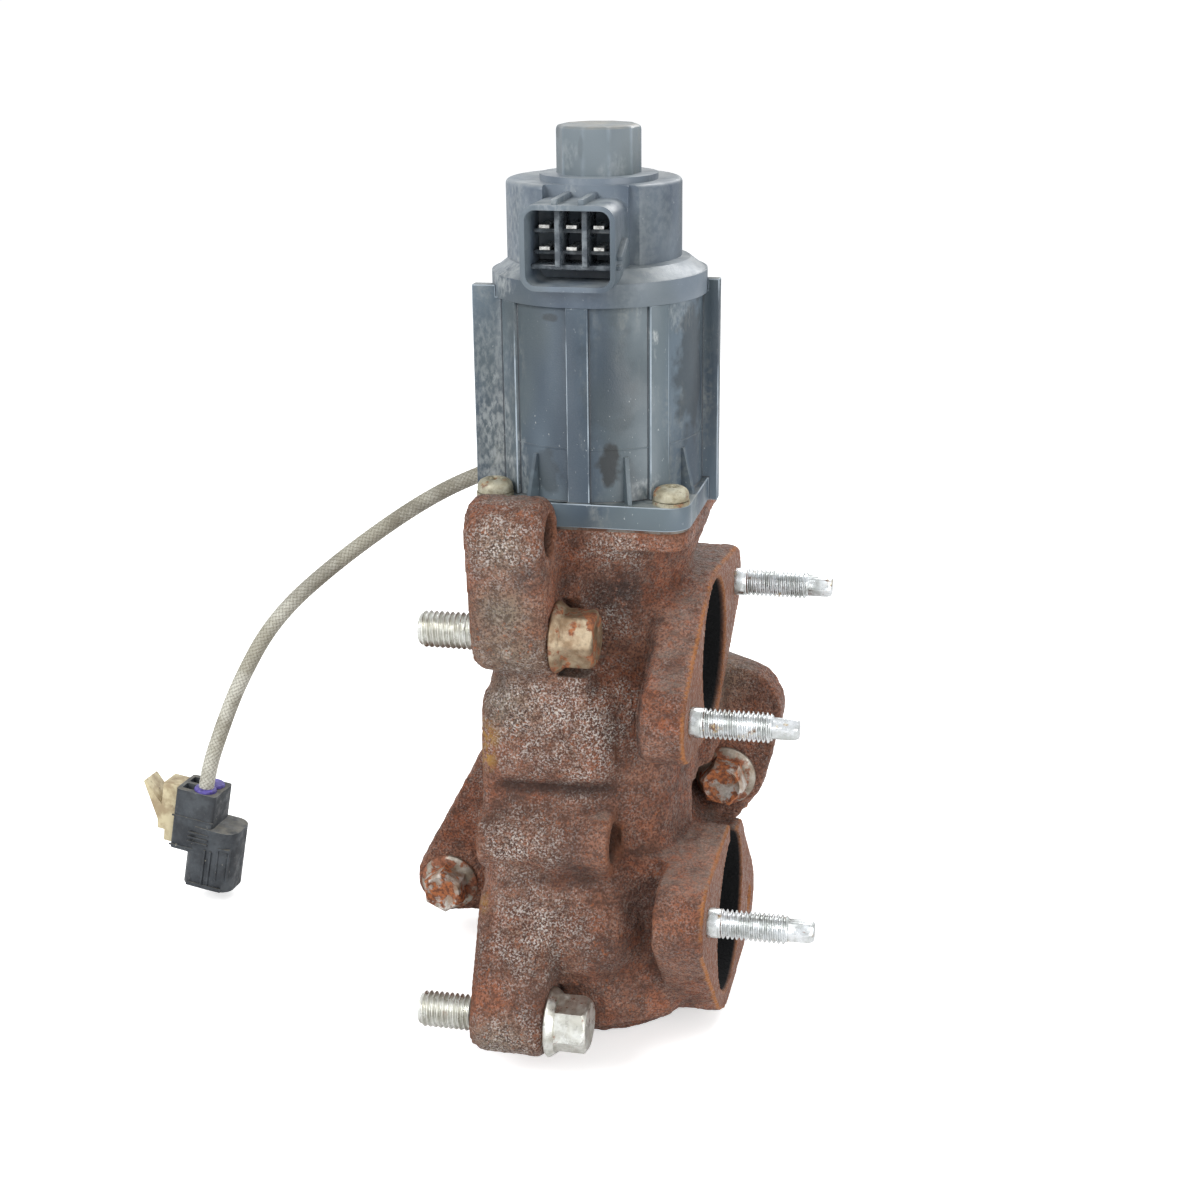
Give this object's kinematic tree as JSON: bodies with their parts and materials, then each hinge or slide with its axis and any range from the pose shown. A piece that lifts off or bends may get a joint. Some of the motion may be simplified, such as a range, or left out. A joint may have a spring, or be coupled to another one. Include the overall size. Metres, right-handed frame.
{
  "type": "exhaust gas recirculation valve",
  "caption": "Stepping motor poppet valve for exhaust gas: ported casting with stud flanges, bolt lugs, connector shroud and sensor lead.",
  "frame": {"origin": "centre of the engine-side face, level with the casting's middle boss", "axes": "+Z along the valve axis towards the motor, +X from the engine face towards the gas flanges, -Y towards the connector"},
  "size_m": [0.229, 0.1238, 0.2543],
  "materials": {
    "rusted_iron": "rough rusted casting, machined faces",
    "cover_iron": "rusted casting",
    "motor_plastic": "dusty dark blue-grey",
    "cover_plastic": "dusty dark blue-grey",
    "cap_plastic": "dusty grey",
    "zinc_bolt": "zinc plated, stained",
    "zinc_stud": "zinc plated",
    "rusty_bolt": "plated, rusted",
    "zinc_screw": "plated, stained",
    "tin_terminal": "tinned",
    "gasket_steel": "coated steel sheet",
    "black_rubber": "black",
    "violet_silicone": "violet silicone",
    "plug_plastic": "dark grey",
    "lock_plastic": "beige",
    "braid": "grey-beige glass braid",
    "sensor_steel": "stainless",
    "copper": "copper washer",
    "valve_steel": "heat stained stainless",
    "graphite": "graphite packing",
    "bronze": "sintered bronze",
    "spring_steel": "spring steel",
    "bright_steel": "ground steel",
    "magnet": "dark ferrite",
    "core_steel": "pressed steel",
    "bobbin_plastic": "natural",
    "enamel_wire": "enamelled copper",
    "bearing_steel": "bearing steel"
  },
  "bodies": {
    "housing": {"base_gasket": "gasket_steel", "base_screws": "zinc_screw", "cast_body": "rusted_iron", "connector_terminals": "tin_terminal", "core_plug": "cover_iron", "cover_seal": "black_rubber", "flange_studs": "zinc_stud", "lower_bearing_balls": "bearing_steel", "lower_bearing_outer": "bearing_steel", "lower_bobbin": "bobbin_plastic", "lower_stator_core": "core_steel", "lower_winding": "enamel_wire", "motor_housing": "motor_plastic", "mount_bolts": "zinc_bolt", "plug_housing": "plug_plastic", "plug_lock": "lock_plastic", "plug_seal": "black_rubber", "plug_terminals": "tin_terminal", "rear_bolts": "rusty_bolt", "rear_cover": "cover_iron", "rear_gasket": "gasket_steel", "screw_guide": "bronze", "screw_washers": "zinc_screw", "seat_ring": "valve_steel", "sensor_body": "sensor_steel", "sensor_lead": "braid", "sensor_probe": "sensor_steel", "sensor_washer": "copper", "stem_bush": "bronze", "stem_seal": "graphite", "top_cap": "cap_plastic", "upper_bearing_balls": "bearing_steel", "upper_bearing_outer": "bearing_steel", "upper_bobbin": "bobbin_plastic", "upper_cover": "cover_plastic", "upper_stator_core": "core_steel", "upper_winding": "enamel_wire", "wave_washer": "spring_steel", "wire_seals": "violet_silicone"},
    "rotor": {"rotor_magnet": "magnet", "rotor_nut": "bronze", "lower_bearing_inner": "bearing_steel", "upper_bearing_inner": "bearing_steel"},
    "screw": {"lead_screw": "bright_steel"},
    "valve": {"valve_stem": "valve_steel", "poppet": "valve_steel", "soot_shield": "valve_steel", "spring_retainer": "sensor_steel", "stem_cotters": "sensor_steel", "return_spring": "spring_steel"}
  },
  "joints": [
    {"name": "rotor_spin", "type": "hinge", "parent": "housing", "child": "rotor", "pos_m": [0.0263, 0, 0.12], "axis": [0, 0, 1], "range_deg": [0, 810]},
    {"name": "screw_travel", "type": "slide", "parent": "housing", "child": "screw", "axis": [0, 0, -1], "range_m": [0, 0.0045]},
    {"name": "valve_lift", "type": "slide", "parent": "housing", "child": "valve", "axis": [0, 0, -1], "range_m": [0, 0.0045], "deforming": ["return_spring"]}
  ],
  "couplings": [
    {"joint": "screw_travel", "follows": "rotor_spin", "m_per_rad": 0.0003183},
    {"joint": "valve_lift", "follows": "rotor_spin", "m_per_rad": 0.0003183}
  ]
}
